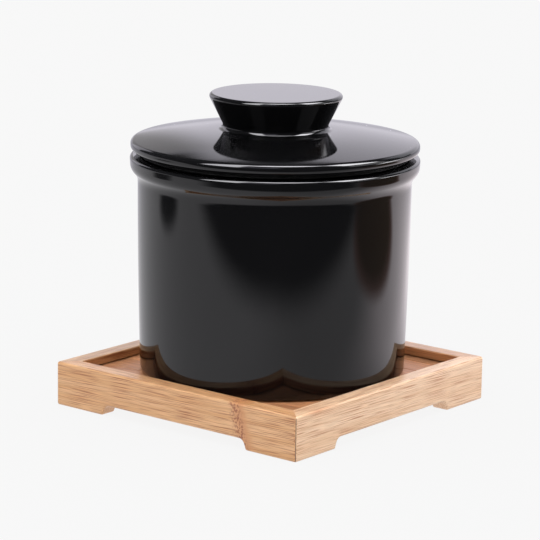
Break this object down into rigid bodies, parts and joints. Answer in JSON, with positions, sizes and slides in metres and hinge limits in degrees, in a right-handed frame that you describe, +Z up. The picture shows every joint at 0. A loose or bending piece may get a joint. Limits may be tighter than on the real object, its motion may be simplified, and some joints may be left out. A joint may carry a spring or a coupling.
{
  "type": "lidded ceramic crock on a bamboo tray",
  "caption": "Straight-sided glazed ceramic fermenting crock with a lift-off knobbed lid and inner weights, standing in a square mitred bamboo tray with corner feet.",
  "frame": {"origin": "centre of the tray's square footprint, on the plane that its corner feet stand on", "axes": "+Z up along the crock's axis; X runs along the tray's floor slats; -Y faces the front rail and +X the right rail"},
  "size_m": [0.16, 0.16, 0.1648],
  "materials": {
    "black_glaze": "gloss black glaze",
    "bamboo": "satin lacquered bamboo, fibres along each rail",
    "floor_bamboo": "satin bamboo strips, warmer and darker than the rails",
    "black_silicone": "matt silicone",
    "stoneware": "unglazed stoneware"
  },
  "bodies": {
    "tray": {"tray_rail_front": "bamboo", "tray_rail_right": "bamboo", "tray_rail_back": "bamboo", "tray_rail_left": "bamboo", "corner_spline_1": "bamboo", "corner_spline_2": "bamboo", "corner_spline_3": "bamboo", "corner_spline_4": "bamboo", "floor_slat_1": "floor_bamboo", "floor_slat_2": "floor_bamboo", "floor_slat_3": "floor_bamboo", "floor_slat_4": "floor_bamboo", "floor_slat_5": "floor_bamboo", "floor_slat_6": "floor_bamboo", "floor_slat_7": "floor_bamboo", "floor_slat_8": "floor_bamboo", "floor_slat_9": "floor_bamboo", "floor_slat_10": "floor_bamboo"},
    "crock": {"crock": "black_glaze"},
    "lid": {"lid": "black_glaze", "lid_seal_ring": "black_silicone"},
    "weight_left": {"weight_left": "stoneware"},
    "weight_right": {"weight_right": "stoneware"}
  },
  "joints": [
    {"name": "crock_lift", "type": "slide", "parent": "tray", "child": "crock", "axis": [0, 0, 1], "range_m": [0, 0.06]},
    {"name": "lid_lift", "type": "slide", "parent": "crock", "child": "lid", "axis": [0, 0, 1], "range_m": [0, 0.06]},
    {"name": "weight_left_lift", "type": "slide", "parent": "crock", "child": "weight_left", "axis": [0, 0, 1], "range_m": [0, 0.085]},
    {"name": "weight_right_lift", "type": "slide", "parent": "crock", "child": "weight_right", "axis": [0, 0, 1], "range_m": [0, 0.085]}
  ]
}
